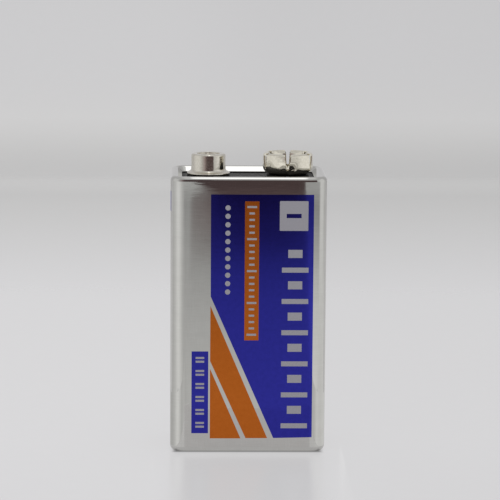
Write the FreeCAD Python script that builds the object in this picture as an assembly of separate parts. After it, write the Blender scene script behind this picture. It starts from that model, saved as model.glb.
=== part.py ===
import FreeCAD, Part
import math
import os

# Nine volt layer-cell battery (PP3 size) in a folded steel jacket. Millimetres.
# Origin: centre of the base, on the surface that it stands on. +Z up, the broad printed face looks along -Y,
# the round (positive) snap stud is on the -X side, the petalled (negative) socket on the +X side.

V = FreeCAD.Vector

# ---- overall -------------------------------------------------------------------------------------------
WIDTH = 25.3            # across the broad face, X
DEPTH = 16.5            # Y
CREST = 45.2            # top of the rolled rim
CORNER_R = 2.3          # vertical corners of the jacket
SHEET = 0.25            # tinplate thickness
TERMINAL_PITCH = 12.95  # stud to socket
TERMINAL_TOP = 48.3     # overall height, at the top of the petals
STUD_TOP = 48.1

# ---- rolled edges of the jacket ------------------------------------------------------------------------
TOP_ROLL_R = 0.75       # outside radius of the top roll
TOP_SLOPE = 45.0        # the turned-in flange falls towards the terminal plate, degrees
TOP_REACH = 1.92        # how far in from the wall the flange reaches
BOTTOM_ROLL_R = 1.0
BOTTOM_REACH = 1.85
SEAM_X = -7.2           # lap seam, on the back wall
SEAM_LAP = 3.0
SEAM_LINE = 0.14        # width of the line that shows outside
SEAM_LINE_DEPTH = 0.13

# ---- plates ---------------------------------------------------------------------------------------------
PLATE_T = 1.0
PLATE_EDGE = 0.35       # from the jacket's outer wall
BOSS_R = 3.45           # raised pads that the terminals are riveted to
BOSS_H = 0.59
RIVET_R = 1.25
RIVET_BORE = 0.75
RIVET_HOLE = 1.28       # hole in the plates and tabs

# ---- stack ----------------------------------------------------------------------------------------------
CELLS = 6
CELL_PITCH = 6.3
CELL_HX, CELL_HY, CELL_R = 11.65, 7.25, 1.4
ENVELOPE_T = 0.3
ENVELOPE_LIP = 1.5
WRAP_T = 0.15
LINER_T = 0.25
TAB_T = 0.25
STRIP_T = 0.2
STRIP_W = 4.0
PAD_T = 1.5

hx, hy = WIDTH / 2, DEPTH / 2
slope = math.radians(TOP_SLOPE)
stud_x, socket_x = -TERMINAL_PITCH / 2, TERMINAL_PITCH / 2

roll_c = CREST - TOP_ROLL_R
flange_arc_end = (TOP_ROLL_R + TOP_ROLL_R * math.sin(slope), roll_c + TOP_ROLL_R * math.cos(slope))
flange_tip = (TOP_REACH, flange_arc_end[1] - (TOP_REACH - flange_arc_end[0]) * math.tan(slope))
flange_under = (flange_tip[0] - SHEET * math.sin(slope), flange_tip[1] - SHEET * math.cos(slope))
plate_top = flange_under[1]
plate_bottom = plate_top - PLATE_T
seat = plate_top + BOSS_H                     # the terminals stand here
bottom_plate_z = SHEET
pad_z = bottom_plate_z + PLATE_T
foot_z = pad_z + PAD_T
stack_z = foot_z + STRIP_T
stack_top = stack_z + CELLS * CELL_PITCH


# ---- helpers --------------------------------------------------------------------------------------------
def wire(points, place):
    """Closed wire from a list of ("l", p) and ("a", mid, p) steps in a plane; place maps (a, b) to a vector."""
    edges = []
    start = points[0][1]
    at = start
    for step in points[1:]:
        if step[0] == "l":
            edges.append(Part.LineSegment(place(*at), place(*step[1])).toShape())
            at = step[1]
        else:
            edges.append(Part.Arc(place(*at), place(*step[1]), place(*step[2])).toShape())
            at = step[2]
    if math.dist(at, start) > 1e-9:
        edges.append(Part.LineSegment(place(*at), place(*start)).toShape())
    return Part.Wire(edges)


def arc(c, r, a0, a1):
    """Arc step about c from angle a0 to a1, in degrees."""
    m = math.radians((a0 + a1) / 2)
    e = math.radians(a1)
    return ("a", (c[0] + r * math.cos(m), c[1] + r * math.sin(m)), (c[0] + r * math.cos(e), c[1] + r * math.sin(e)))


def on(c, r, a):
    return (c[0] + r * math.cos(math.radians(a)), c[1] + r * math.sin(math.radians(a)))


def rounded(ax, ay, r, z):
    """Rounded rectangle face at height z, half sizes ax and ay."""
    k = math.sqrt(0.5)
    pts = [("m", (-ax + r, -ay)), ("l", (ax - r, -ay)), ("a", (ax - r + r * k, -ay + r - r * k), (ax, -ay + r)),
           ("l", (ax, ay - r)), ("a", (ax - r + r * k, ay - r + r * k), (ax - r, ay)),
           ("l", (-ax + r, ay)), ("a", (-ax + r - r * k, ay - r + r * k), (-ax, ay - r)),
           ("l", (-ax, -ay + r)), ("a", (-ax + r - r * k, -ay + r - r * k), (-ax + r, -ay))]
    return Part.Face(wire(pts, lambda x, y: V(x, y, z)))


def prism(ax, ay, r, z0, z1):
    return rounded(ax, ay, r, z0).extrude(V(0, 0, z1 - z0))


def box(x0, y0, z0, x1, y1, z1):
    return Part.makeBox(x1 - x0, y1 - y0, z1 - z0, V(x0, y0, z0))


def ring(profile):
    """Carries a closed (inward, z) profile round the jacket's rounded rectangle: four straight runs and four turned corners."""
    lx, ly = hx - CORNER_R, hy - CORNER_R
    runs = []
    sides = [
        (V(-lx, -hy, 0), V(0, 1, 0), V(1, 0, 0), 2 * lx, V(lx, -ly, 0)),
        (V(hx, -ly, 0), V(-1, 0, 0), V(0, 1, 0), 2 * ly, V(lx, ly, 0)),
        (V(lx, hy, 0), V(0, -1, 0), V(-1, 0, 0), 2 * lx, V(-lx, ly, 0)),
        (V(-hx, ly, 0), V(1, 0, 0), V(0, -1, 0), 2 * ly, V(-lx, -ly, 0)),
    ]
    for start, inward, along, length, pivot in sides:
        face = Part.Face(wire(profile, lambda n, z: start + inward * n + V(0, 0, z)))
        runs.append(face.extrude(along * length))
        end = Part.Face(wire(profile, lambda n, z: start + along * length + inward * n + V(0, 0, z)))
        runs.append(end.revolve(pivot, V(0, 0, 1), 90))
    solid = runs[0].fuse(runs[1:]).removeSplitter()
    return solid.Solids[0]


def turned(points, x):
    """Solid of revolution about the vertical through (x, 0) from a closed (r, z) profile."""
    return Part.Face(wire(points, lambda r, z: V(x + r, 0, z))).revolve(V(x, 0, 0), V(0, 0, 1), 360)


def write(name, shape):
    solids = shape.Solids
    assert solids and all(s.isValid() and s.Volume > 0 for s in solids), name
    out = solids[0] if len(solids) == 1 else Part.makeCompound(solids)
    out.exportStep(os.path.join("parts", name + ".step"))
    print(f"{name:24s} {len(solids)} solid  {sum(s.Volume for s in solids):9.2f} mm3  "
          f"z {out.BoundBox.ZMin:6.2f} to {out.BoundBox.ZMax:6.2f}")


os.makedirs("parts", exist_ok=True)


# ---- steel jacket: one folded and lapped sheet, rolled in over both plates ----------------------------------
ri, rb = TOP_ROLL_R - SHEET, BOTTOM_ROLL_R - SHEET
tc, bc = (TOP_ROLL_R, roll_c), (BOTTOM_ROLL_R, BOTTOM_ROLL_R)
a_end = 90 - TOP_SLOPE
jacket_profile = [
    ("m", (0, BOTTOM_ROLL_R)),
    ("l", (0, roll_c)),
    arc(tc, TOP_ROLL_R, 180, a_end),
    ("l", flange_tip),
    ("l", flange_under),
    ("l", on(tc, ri, a_end)),
    arc(tc, ri, a_end, 180),
    ("l", (SHEET, BOTTOM_ROLL_R)),
    arc(bc, rb, 180, 270),
    ("l", (BOTTOM_REACH, SHEET)),
    ("l", (BOTTOM_REACH, 0)),
    ("l", (BOTTOM_ROLL_R, 0)),
    arc(bc, BOTTOM_ROLL_R, 270, 180),
]
jacket = ring(jacket_profile)
under_lap = box(SEAM_X - SEAM_LAP / 2, hy - 2 * SHEET, 1.4, SEAM_X + SEAM_LAP / 2, hy - SHEET, plate_bottom - 0.15)
seam_line = box(SEAM_X - SEAM_LINE / 2, hy - SEAM_LINE_DEPTH, -1, SEAM_X + SEAM_LINE / 2, hy + 1, CREST + 1)
jacket = jacket.fuse(under_lap).removeSplitter().cut(seam_line)
write("jacket", jacket)

# ---- top terminal plate: moulded board with two raised pads and rivet holes ----------------------------------
px, py, pr = hx - PLATE_EDGE, hy - PLATE_EDGE, CORNER_R - PLATE_EDGE
plate = prism(px, py, pr, plate_bottom, plate_top)
for x in (stud_x, socket_x):
    plate = plate.fuse(Part.makeCylinder(BOSS_R, BOSS_H, V(x, 0, plate_top)))
for x in (stud_x, socket_x):
    plate = plate.cut(Part.makeCylinder(RIVET_HOLE, PLATE_T + 2, V(x, 0, plate_bottom - 1)))
write("terminal_plate", plate.removeSplitter())

# ---- bottom plate, with a rounded lower edge that lies in the bottom roll ------------------------------------
base = prism(px, py, pr, bottom_plate_z, pad_z)
low = [e for e in base.Edges if e.BoundBox.ZMax < bottom_plate_z + 1e-6]
base = base.makeFillet(0.7, low)
write("bottom_plate", base)

# ---- positive snap stud: a drawn cap, its flange curled under round the head of its rivet ----------------------
CAP_T = 0.15
CAP_R = 2.8             # the part that the clip grips
CAP_FLANGE = 3.5
CAP_BEAD = 0.19         # half the thickness of the curled edge
CAP_FLARE = 0.55        # fillet between the barrel and the flange
CAP_FALL = 20.0         # the flange falls outwards, degrees
CAP_SHOULDER = 0.32
DISH_R, DISH_D = 1.85, 0.34
s = seat
top = STUD_TOP
bead_c = (CAP_FLANGE - CAP_BEAD, s + CAP_BEAD)
flare_x = CAP_R + CAP_FLARE
bead_out = on(bead_c, CAP_BEAD, 90 - CAP_FALL)
flare_low_x = on((flare_x, 0), CAP_FLARE, 270 - CAP_FALL)[0]
flare_z = bead_out[1] + (bead_out[0] - flare_low_x) * math.tan(math.radians(CAP_FALL)) - on((0, 0), CAP_FLARE, 270 - CAP_FALL)[1]
flare_c = (flare_x, flare_z)
sh_c = (CAP_R - CAP_SHOULDER, top - CAP_SHOULDER)
k1, k2 = 0.14, 0.16     # bends at the edge and at the foot of the dish
stud_cap = turned([
    ("m", (2.5, s)),
    ("l", (bead_c[0], s)),
    arc(bead_c, CAP_BEAD, 270, 450 - CAP_FALL),
    ("l", on(flare_c, CAP_FLARE, 270 - CAP_FALL)),
    arc(flare_c, CAP_FLARE, 270 - CAP_FALL, 180),
    ("l", (CAP_R, sh_c[1])),
    arc(sh_c, CAP_SHOULDER, 0, 90),
    ("l", (DISH_R + k1, top)),
    arc((DISH_R + k1, top - k1), k1, 90, 180),
    ("l", (DISH_R, top - DISH_D + k2)),
    arc((DISH_R - k2, top - DISH_D + k2), k2, 0, -90),
    ("l", (0, top - DISH_D)),
    ("l", (0, top - DISH_D - CAP_T)),
    ("l", (DISH_R - k2, top - DISH_D - CAP_T)),
    arc((DISH_R - k2, top - DISH_D + k2), k2 + CAP_T, -90, 0),
    ("l", (DISH_R + CAP_T, top - CAP_T)),
    ("l", (sh_c[0], top - CAP_T)),
    arc(sh_c, CAP_SHOULDER - CAP_T, 90, 0),
    ("l", (CAP_R - CAP_T, flare_z)),
    arc(flare_c, CAP_FLARE + CAP_T, 180, 270 - CAP_FALL),
    ("l", on(bead_c, CAP_BEAD - CAP_T, 450 - CAP_FALL)),
    arc(bead_c, CAP_BEAD - CAP_T, 450 - CAP_FALL, 270),
    ("l", (2.5, s + CAP_T)),
], stud_x)
write("stud_cap", stud_cap)
print("stud barrel from", round(flare_z, 3), "to", round(sh_c[1], 3))


def rivet(head_r, head_z0, head_z1, tab_z, x, dome):
    """Tubular rivet: flat or domed head, shank through the plate, end flared under the tab."""
    flare_r, flare_t = 1.95, 0.25
    k = 0.35
    pts = [("m", (RIVET_BORE, head_z1))]
    if dome:
        pts += [("l", (head_r - 0.2, head_z1)), arc((head_r - 0.2, head_z1 - 0.2), 0.2, 90, 0)]
    else:
        pts += [("l", (head_r, head_z1))]
    pts += [
        ("l", (head_r, head_z0)),
        ("l", (RIVET_R, head_z0)),
        ("l", (RIVET_R, tab_z)),
        ("l", (flare_r, tab_z)),
        ("l", (flare_r, tab_z - flare_t + 0.1)),
        arc((flare_r - 0.1, tab_z - flare_t + 0.1), 0.1, 0, -90),
        ("l", (RIVET_BORE + k, tab_z - flare_t)),
        arc((RIVET_BORE + k, tab_z - flare_t + k), k, 270, 180),
    ]
    return turned(pts, x)


tab_z = plate_bottom - TAB_T
strip_under = plate_bottom - STRIP_T
write("stud_rivet", rivet(3.0, s + CAP_T, s + CAP_T + 0.15, tab_z, stud_x, False))

# ---- negative snap socket: six sprung petals drawn up from one disc, tips rolled in and down -------------------
SOCKET_T = 0.26
PETAL_OUT = 4.1         # flats of the petals, from the axis
GRIP_R = 2.9            # the rolled tips make this broken ring round a stud
SLOT_FOOT_W = 0.54      # the slots widen upwards
SLOT_TOP_W = 0.84
FLAT = 4.2              # the petals are flatter than a circle: their centre of curvature lies this far behind the axis
BOWL_R = 1.6            # bowl under the petals
TIP_R = 0.42            # outer bend of the tips
CROWN_TURN = -2.3       # the crown was riveted slightly turned, degrees
LIP_R = 0.4             # inner bend of the tips
LIP_Z = 0.95            # how far down the tips reach
SLOT_Z = 1.25           # centre of the round foot of each slot above the seat
t = SOCKET_T
p0 = PETAL_OUT
top = TERMINAL_TOP
cup_c = (p0 - BOWL_R, s + BOWL_R)
tip_c = (p0 - TIP_R, top - TIP_R)
petal_profile = [
    ("m", (0, s)),
    ("l", (cup_c[0], s)),
    arc(cup_c, BOWL_R, 270, 360),
    ("l", (p0, tip_c[1])),
    arc(tip_c, TIP_R, 0, 90),
    ("l", (3.15, top)),
    ("l", (3.15, top - t)),
    ("l", (tip_c[0], top - t)),
    arc(tip_c, TIP_R - t, 90, 0),
    ("l", (p0 - t, cup_c[1])),
    arc(cup_c, BOWL_R - t, 360, 270),
    ("l", (0, s + t)),
]
lip_c = (GRIP_R + LIP_R, top - LIP_R)
lip_profile = [
    ("m", (3.45, top)),
    ("l", (lip_c[0], top)),
    arc(lip_c, LIP_R, 90, 180),
    ("l", (GRIP_R, top - LIP_Z)),
    ("l", (GRIP_R + t, top - LIP_Z)),
    ("l", (GRIP_R + t, lip_c[1])),
    arc(lip_c, LIP_R - t, 180, 90),
    ("l", (3.45, top - t)),
]


def petal(k):
    """One sixth of the crown, before its slots are cut. Its middle is at 60 k degrees."""
    face = Part.Face(wire(petal_profile, lambda r, z: V(r, 0, z)))
    face.rotate(V(-FLAT, 0, 0), V(0, 0, 1), -30)
    body = face.revolve(V(-FLAT, 0, 0), V(0, 0, 1), 60)
    w = 9.0
    wedge = Part.Face(Part.makePolygon([V(0, 0, s - 1), V(w, -w * math.tan(math.radians(30)), s - 1),
                                        V(w, w * math.tan(math.radians(30)), s - 1), V(0, 0, s - 1)])).extrude(V(0, 0, 6))
    body = body.common(wedge)
    body.rotate(V(0, 0, 0), V(0, 0, 1), 60 * k)
    return body


lip = turned(lip_profile, 0)
crown = petal(0).fuse([petal(k) for k in range(1, 6)] + [lip])
for k in range(6):
    foot, head, z0, z1 = SLOT_FOOT_W / 2, SLOT_TOP_W / 2, s + SLOT_Z, top + 0.2
    slot = Part.Face(Part.makePolygon([V(2.2, -foot, z0), V(2.2, foot, z0), V(2.2, head, z1), V(2.2, -head, z1), V(2.2, -foot, z0)])).extrude(V(4, 0, 0))
    slot = slot.fuse(Part.makeCylinder(foot, 4, V(2.2, 0, z0), V(1, 0, 0)))
    slot.rotate(V(0, 0, 0), V(0, 0, 1), 60 * k + 30)
    crown = crown.cut(slot)
crown = crown.cut(Part.makeCylinder(RIVET_HOLE, 2, V(0, 0, s - 0.5)))
crown = crown.removeSplitter()
crown.rotate(V(0, 0, 0), V(0, 0, 1), CROWN_TURN)
crown.translate(V(socket_x, 0, 0))
write("socket_crown", crown)
write("socket_rivet", rivet(2.05, s + t, s + t + 0.32, strip_under, socket_x, True))


# ---- contact strips --------------------------------------------------------------------------------------------
wrap_hx, wrap_hy, wrap_r = CELL_HX + 0.05 + WRAP_T, CELL_HY + 0.05 + WRAP_T, CELL_R + 0.05 + WRAP_T
end_plate_z = stack_top
END_T = 0.25

# positive: riveted under the stud, folded down past the spacer and back in over the end plate
pos_out = -10.9
pos_a = box(pos_out, -STRIP_W / 2, tab_z, stud_x + 2.6, STRIP_W / 2, plate_bottom)
pos_b = box(pos_out, -STRIP_W / 2, end_plate_z + END_T, pos_out + TAB_T, STRIP_W / 2, plate_bottom)
pos_c = box(pos_out, -STRIP_W / 2, end_plate_z + END_T, -3.5, STRIP_W / 2, end_plate_z + END_T + TAB_T)
pos = pos_a.fuse([pos_b, pos_c]).removeSplitter()
outer = [e for e in pos.Edges if abs(e.BoundBox.XMax - pos_out) < 1e-6 and abs(e.BoundBox.XMin - pos_out) < 1e-6
         and e.BoundBox.YLength > 3 and (abs(e.BoundBox.ZMax - plate_bottom) < 1e-6 or abs(e.BoundBox.ZMin - end_plate_z - END_T) < 1e-6)]
pos = pos.makeFillet(0.4, outer)
inner = [e for e in pos.Edges if abs(e.BoundBox.XMax - pos_out - TAB_T) < 1e-6 and abs(e.BoundBox.XMin - pos_out - TAB_T) < 1e-6
         and e.BoundBox.YLength > 3]
pos = pos.makeFillet(0.15, inner)
pos = pos.cut(Part.makeCylinder(RIVET_HOLE, 1.5, V(stud_x, 0, tab_z - 0.6)))
write("positive_strip", pos)

# negative: riveted under the socket, down the side of the stack and under the lowest cell
neg_in = wrap_hx + 0.05
neg_a = box(socket_x - 2.6, -STRIP_W / 2, strip_under, neg_in + STRIP_T, STRIP_W / 2, plate_bottom)
neg_b = box(neg_in, -STRIP_W / 2, foot_z, neg_in + STRIP_T, STRIP_W / 2, plate_bottom)
neg_c = box(-6.0, -STRIP_W / 2, foot_z, neg_in + STRIP_T, STRIP_W / 2, stack_z)
neg = neg_a.fuse([neg_b, neg_c]).removeSplitter()
xo = neg_in + STRIP_T
outer = [e for e in neg.Edges if abs(e.BoundBox.XMin - xo) < 1e-6 and e.BoundBox.YLength > 3]
neg = neg.makeFillet(0.35, outer)
inner = [e for e in neg.Edges if abs(e.BoundBox.XMin - neg_in) < 1e-6 and abs(e.BoundBox.XMax - neg_in) < 1e-6
         and e.BoundBox.YLength > 3]
neg = neg.makeFillet(0.04, inner)
neg = neg.cut(Part.makeCylinder(RIVET_HOLE, 1.5, V(socket_x, 0, strip_under - 0.6)))
write("negative_strip", neg)

# ---- end plate on the top cell, spacer and pad -------------------------------------------------------------------
write("positive_end_plate", prism(9.6, 5.3, 1.0, end_plate_z, end_plate_z + END_T))
spacer_z0, spacer_z1 = end_plate_z + END_T + TAB_T, tab_z - 0.35
spacer = prism(10.3, 6.4, 1.2, spacer_z0, spacer_z1)
write("top_spacer", spacer)
write("bottom_pad", prism(px - 0.5, py - 0.5, pr - 0.3, pad_z, foot_z))

# ---- wrap round the stack and paper liner next to the jacket ----------------------------------------------------
wrap = prism(wrap_hx, wrap_hy, wrap_r, stack_z, stack_top).cut(
    prism(CELL_HX + 0.05, CELL_HY + 0.05, CELL_R + 0.05, stack_z - 1, stack_top + 1))
write("stack_wrap", wrap)
lin_x, lin_y = hx - SHEET - 0.05, hy - 2 * SHEET - 0.05
liner = prism(lin_x, lin_y, 1.9, pad_z, plate_bottom).cut(
    prism(lin_x - LINER_T, lin_y - LINER_T, 1.9 - LINER_T, pad_z - 1, plate_bottom + 1))
write("paper_liner", liner)

# ---- six flat cells, the negative end at the bottom ---------------------------------------------------------------
ZINC_T = 0.5
TRAY_T = 0.2
TRAY_WALL = 2.6
in_x, in_y, in_r = CELL_HX - ENVELOPE_T, CELL_HY - ENVELOPE_T, CELL_R - ENVELOPE_T
mouth_x, mouth_y, mouth_r = in_x - ENVELOPE_LIP, in_y - ENVELOPE_LIP, 0.6
for i in range(CELLS):
    z0 = stack_z + i * CELL_PITCH
    z1 = z0 + CELL_PITCH
    name = f"cell_{i + 1}"
    sleeve = prism(CELL_HX, CELL_HY, CELL_R, z0, z1)
    sleeve = sleeve.cut(prism(in_x, in_y, in_r, z0 + ENVELOPE_T, z1 - ENVELOPE_T))
    sleeve = sleeve.cut(prism(mouth_x, mouth_y, mouth_r, z0 - 1, z1 + 1))
    write(name + "_envelope", sleeve)
    zinc = prism(in_x - 0.05, in_y - 0.05, in_r - 0.05, z0 + ENVELOPE_T, z0 + ENVELOPE_T + ZINC_T)
    zinc = zinc.fuse(prism(mouth_x - 0.1, mouth_y - 0.1, mouth_r - 0.1, z0, z0 + ENVELOPE_T)).removeSplitter()
    write(name + "_zinc_plate", zinc)
    tz = z0 + ENVELOPE_T + ZINC_T
    tray = prism(in_x - 0.05, in_y - 0.05, in_r - 0.05, tz, tz + TRAY_WALL)
    tray = tray.cut(prism(in_x - 0.05 - TRAY_T, in_y - 0.05 - TRAY_T, in_r - 0.05 - TRAY_T, tz + TRAY_T, tz + TRAY_WALL + 1))
    write(name + "_separator_tray", tray)
    cake_x, cake_y, cake_r = in_x - 0.1 - TRAY_T, in_y - 0.1 - TRAY_T, in_r - 0.1 - TRAY_T
    cake = prism(cake_x, cake_y, cake_r, tz + TRAY_T, z1 - ENVELOPE_T)
    cake = cake.fuse(prism(mouth_x - 0.1, mouth_y - 0.1, mouth_r - 0.1, z1 - ENVELOPE_T, z1)).removeSplitter()
    write(name + "_cathode_cake", cake)
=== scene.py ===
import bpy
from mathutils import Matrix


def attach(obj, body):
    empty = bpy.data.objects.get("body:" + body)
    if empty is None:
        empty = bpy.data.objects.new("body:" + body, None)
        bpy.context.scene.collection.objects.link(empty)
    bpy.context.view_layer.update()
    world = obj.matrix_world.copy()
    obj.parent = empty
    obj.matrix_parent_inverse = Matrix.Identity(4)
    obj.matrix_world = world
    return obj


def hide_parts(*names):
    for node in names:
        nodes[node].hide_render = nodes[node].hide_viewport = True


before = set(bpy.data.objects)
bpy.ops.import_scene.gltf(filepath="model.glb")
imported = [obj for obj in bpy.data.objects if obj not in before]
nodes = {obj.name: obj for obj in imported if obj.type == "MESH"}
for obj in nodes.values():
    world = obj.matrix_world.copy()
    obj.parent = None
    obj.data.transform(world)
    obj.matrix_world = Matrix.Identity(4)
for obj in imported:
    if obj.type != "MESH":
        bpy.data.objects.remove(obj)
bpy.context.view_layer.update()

import math
import bpy
import bmesh
from mathutils import Matrix, Vector
from mathutils.geometry import delaunay_2d_cdt

MM = 0.001
scene = bpy.context.scene
scene.view_settings.view_transform = "Standard"
scene.view_settings.look = "None"
scene.view_settings.exposure = 0.0
scene.view_settings.gamma = 1.0


# ---- camera -------------------------------------------------------------------------------------------------
def make_camera():
    yaw, pitch, roll = 0.0269237, 0.1523092, 0.0071694
    at = Vector((-0.0113689, -0.437414, 0.099318))
    rt0 = Vector((math.cos(yaw), -math.sin(yaw), 0))
    fw = Vector((math.sin(yaw) * math.cos(pitch), math.cos(yaw) * math.cos(pitch), -math.sin(pitch)))
    up0 = Vector((math.sin(yaw) * math.sin(pitch), math.cos(yaw) * math.sin(pitch), math.cos(pitch)))
    rt = rt0 * math.cos(roll) + up0 * math.sin(roll)
    up = up0 * math.cos(roll) - rt0 * math.sin(roll)
    data = bpy.data.cameras.new("camera")
    data.sensor_width = 36
    data.lens = 36 * 2698.12 / 500
    data.clip_start, data.clip_end = 0.01, 20
    cam = bpy.data.objects.new("camera", data)
    scene.collection.objects.link(cam)
    cam.matrix_world = Matrix(((rt.x, up.x, -fw.x, at.x), (rt.y, up.y, -fw.y, at.y), (rt.z, up.z, -fw.z, at.z), (0, 0, 0, 1)))
    scene.camera = cam


make_camera()


def step(a, b, x):
    t = min(1.0, max(0.0, (x - a) / (b - a)))
    return t * t * (3 - 2 * t)


# ---- small node kit -----------------------------------------------------------------------------------------
class Mat:
    def __init__(self, name, **sockets):
        self.m = bpy.data.materials.new(name)
        self.m.use_nodes = True
        self.t = self.m.node_tree
        self.bsdf = next(n for n in self.t.nodes if n.type == "BSDF_PRINCIPLED")
        for k, v in sockets.items():
            self.set(self.bsdf, k.replace("_", " "), v)

    def set(self, node, socket, value):
        s = next(i for i in node.inputs if i.name.lower() == socket.lower() and i.enabled)
        if isinstance(value, bpy.types.NodeSocket):
            self.t.links.new(value, s)
        elif s.type == "RGBA":
            s.default_value = (*value, 1) if len(value) == 3 else value
        else:
            s.default_value = value

    def put(self, **sockets):
        for k, v in sockets.items():
            self.set(self.bsdf, k.replace("_", " "), v)

    def uv(self):
        """Unrolled position on the jacket, in mm: X round the can, Y up."""
        n = self.t.nodes.new("ShaderNodeUVMap")
        n.uv_map = "unrolled"
        return self.scale(n.outputs[0], (100, 100, 100))

    def obj(self):
        """Position in mm."""
        n = self.t.nodes.new("ShaderNodeTexCoord")
        return self.scale(n.outputs["Object"], (1000, 1000, 1000))

    def scale(self, vec, by, shift=(0, 0, 0)):
        n = self.t.nodes.new("ShaderNodeMapping")
        self.t.links.new(vec, n.inputs["Vector"])
        n.inputs["Scale"].default_value = by
        n.inputs["Location"].default_value = shift
        return n.outputs[0]

    def noise(self, vec, scale=1.0, detail=3.0, rough=0.5, distortion=0.0):
        n = self.t.nodes.new("ShaderNodeTexNoise")
        self.t.links.new(vec, n.inputs["Vector"])
        n.inputs["Scale"].default_value = scale
        n.inputs["Detail"].default_value = detail
        n.inputs["Roughness"].default_value = rough
        n.inputs["Distortion"].default_value = distortion
        return n.outputs["Fac"]

    def voronoi(self, vec, scale=1.0, out="Distance", feature="F1"):
        n = self.t.nodes.new("ShaderNodeTexVoronoi")
        n.feature = feature
        self.t.links.new(vec, n.inputs["Vector"])
        n.inputs["Scale"].default_value = scale
        return n.outputs[out]

    def wave(self, vec, scale=1.0, distortion=2.0, detail=2.0, direction="X"):
        n = self.t.nodes.new("ShaderNodeTexWave")
        n.bands_direction = direction
        self.t.links.new(vec, n.inputs["Vector"])
        n.inputs["Scale"].default_value = scale
        n.inputs["Distortion"].default_value = distortion
        n.inputs["Detail"].default_value = detail
        return n.outputs["Fac"]

    def span(self, fac, a, b, lo=0.0, hi=1.0, smooth=False):
        """fac from a..b to lo..hi, clamped."""
        n = self.t.nodes.new("ShaderNodeMapRange")
        n.clamp = True
        if smooth:
            n.interpolation_type = "SMOOTHSTEP"
        self.t.links.new(fac, n.inputs["Value"])
        for k, v in (("From Min", a), ("From Max", b), ("To Min", lo), ("To Max", hi)):
            n.inputs[k].default_value = v
        return n.outputs["Result"]

    def math(self, op, a, b=0.0, c=0.0):
        n = self.t.nodes.new("ShaderNodeMath")
        n.operation = op
        for i, v in enumerate((a, b, c)):
            if isinstance(v, bpy.types.NodeSocket):
                self.t.links.new(v, n.inputs[i])
            else:
                n.inputs[i].default_value = v
        return n.outputs[0]

    def mix(self, fac, a, b):
        n = self.t.nodes.new("ShaderNodeMix")
        n.data_type = "RGBA"
        for k, v in (("Factor", fac), ("A", a), ("B", b)):
            s = next(i for i in n.inputs if i.name == k and i.enabled)
            if isinstance(v, bpy.types.NodeSocket):
                self.t.links.new(v, s)
            else:
                s.default_value = (*v, 1) if isinstance(v, tuple) else v
        return next(o for o in n.outputs if o.enabled)

    def xyz(self, vec):
        n = self.t.nodes.new("ShaderNodeSeparateXYZ")
        self.t.links.new(vec, n.inputs[0])
        return n.outputs

    def bump(self, height, distance, strength=1.0, after=None):
        """distance in mm."""
        n = self.t.nodes.new("ShaderNodeBump")
        n.inputs["Strength"].default_value = strength
        n.inputs["Distance"].default_value = distance * MM
        self.t.links.new(height, n.inputs["Height"])
        if after is not None:
            self.t.links.new(after, n.inputs["Normal"])
        return n.outputs[0]


# ---- materials of the jacket ----------------------------------------------------------------------------------
def tin_surface(m, amount=1.0):
    """Rolled tinplate under clear varnish: fine lines both ways, slight waviness, a few rubbed spots."""
    v = m.uv()
    along = m.noise(m.scale(v, (9.0, 0.35, 1)), 1.0, 3, 0.6)
    across = m.noise(m.scale(v, (0.30, 8.0, 1), (3.1, 7.7, 0)), 1.0, 3, 0.6)
    wave = m.noise(m.scale(v, (0.16, 0.22, 1), (5.0, 1.0, 0)), 1.0, 1, 0.4)
    fine = m.math("ADD", m.math("MULTIPLY", along, 0.5), m.math("MULTIPLY", across, 0.5))
    streak = m.noise(m.scale(v, (0.45, 2.0, 1), (1.7, 4.4, 0)), 1.0, 2, 0.5)
    n = m.bump(wave, 0.004 * amount)
    n = m.bump(streak, 0.0012 * amount, 1.0, n)
    n = m.bump(fine, 0.00008 * amount, 1.0, n)
    return v, along, across, fine, n


def make_steel():
    m = Mat("varnished_tinplate", Metallic=1.0)
    v, along, across, fine, n = tin_surface(m)
    cloud = m.noise(m.scale(v, (0.5, 0.5, 1), (11, 2, 0)), 1.0, 2, 0.5)
    tone = m.math("ADD", m.math("MULTIPLY", fine, 0.7), m.math("MULTIPLY", cloud, 0.3))
    m.put(Base_Color=m.mix(m.span(tone, 0.3, 0.7), (0.585, 0.580, 0.555), (0.665, 0.660, 0.635)),
          Roughness=m.span(fine, 0.3, 0.7, 0.020, 0.038), Normal=n)
    return m.m


def make_blue():
    m = Mat("blue_transparent_print", Metallic=0.985)
    v, along, across, fine, n = tin_surface(m, 0.8)
    blotch = m.noise(m.scale(v, (1.4, 1.4, 1), (2, 9, 0)), 1.0, 4, 0.6)
    tone = m.math("ADD", m.math("MULTIPLY", fine, 0.4), m.math("MULTIPLY", blotch, 0.6))
    m.put(Base_Color=m.mix(m.span(tone, 0.35, 0.65), (0.033, 0.034, 0.345), (0.040, 0.040, 0.405)),
          Roughness=m.span(fine, 0.3, 0.7, 0.05, 0.09), Normal=n)
    return m.m


def make_orange():
    m = Mat("orange_transparent_print", Metallic=0.85)
    v, along, across, fine, n = tin_surface(m, 0.8)
    blotch = m.noise(m.scale(v, (1.1, 1.1, 1), (8, 4, 0)), 1.0, 4, 0.65)
    tone = m.math("ADD", m.math("MULTIPLY", fine, 0.4), m.math("MULTIPLY", blotch, 0.6))
    m.put(Base_Color=m.mix(m.span(tone, 0.35, 0.65), (0.56, 0.135, 0.012), (0.62, 0.158, 0.018)),
          Roughness=m.span(fine, 0.3, 0.7, 0.18, 0.26), Normal=n)
    return m.m


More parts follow.
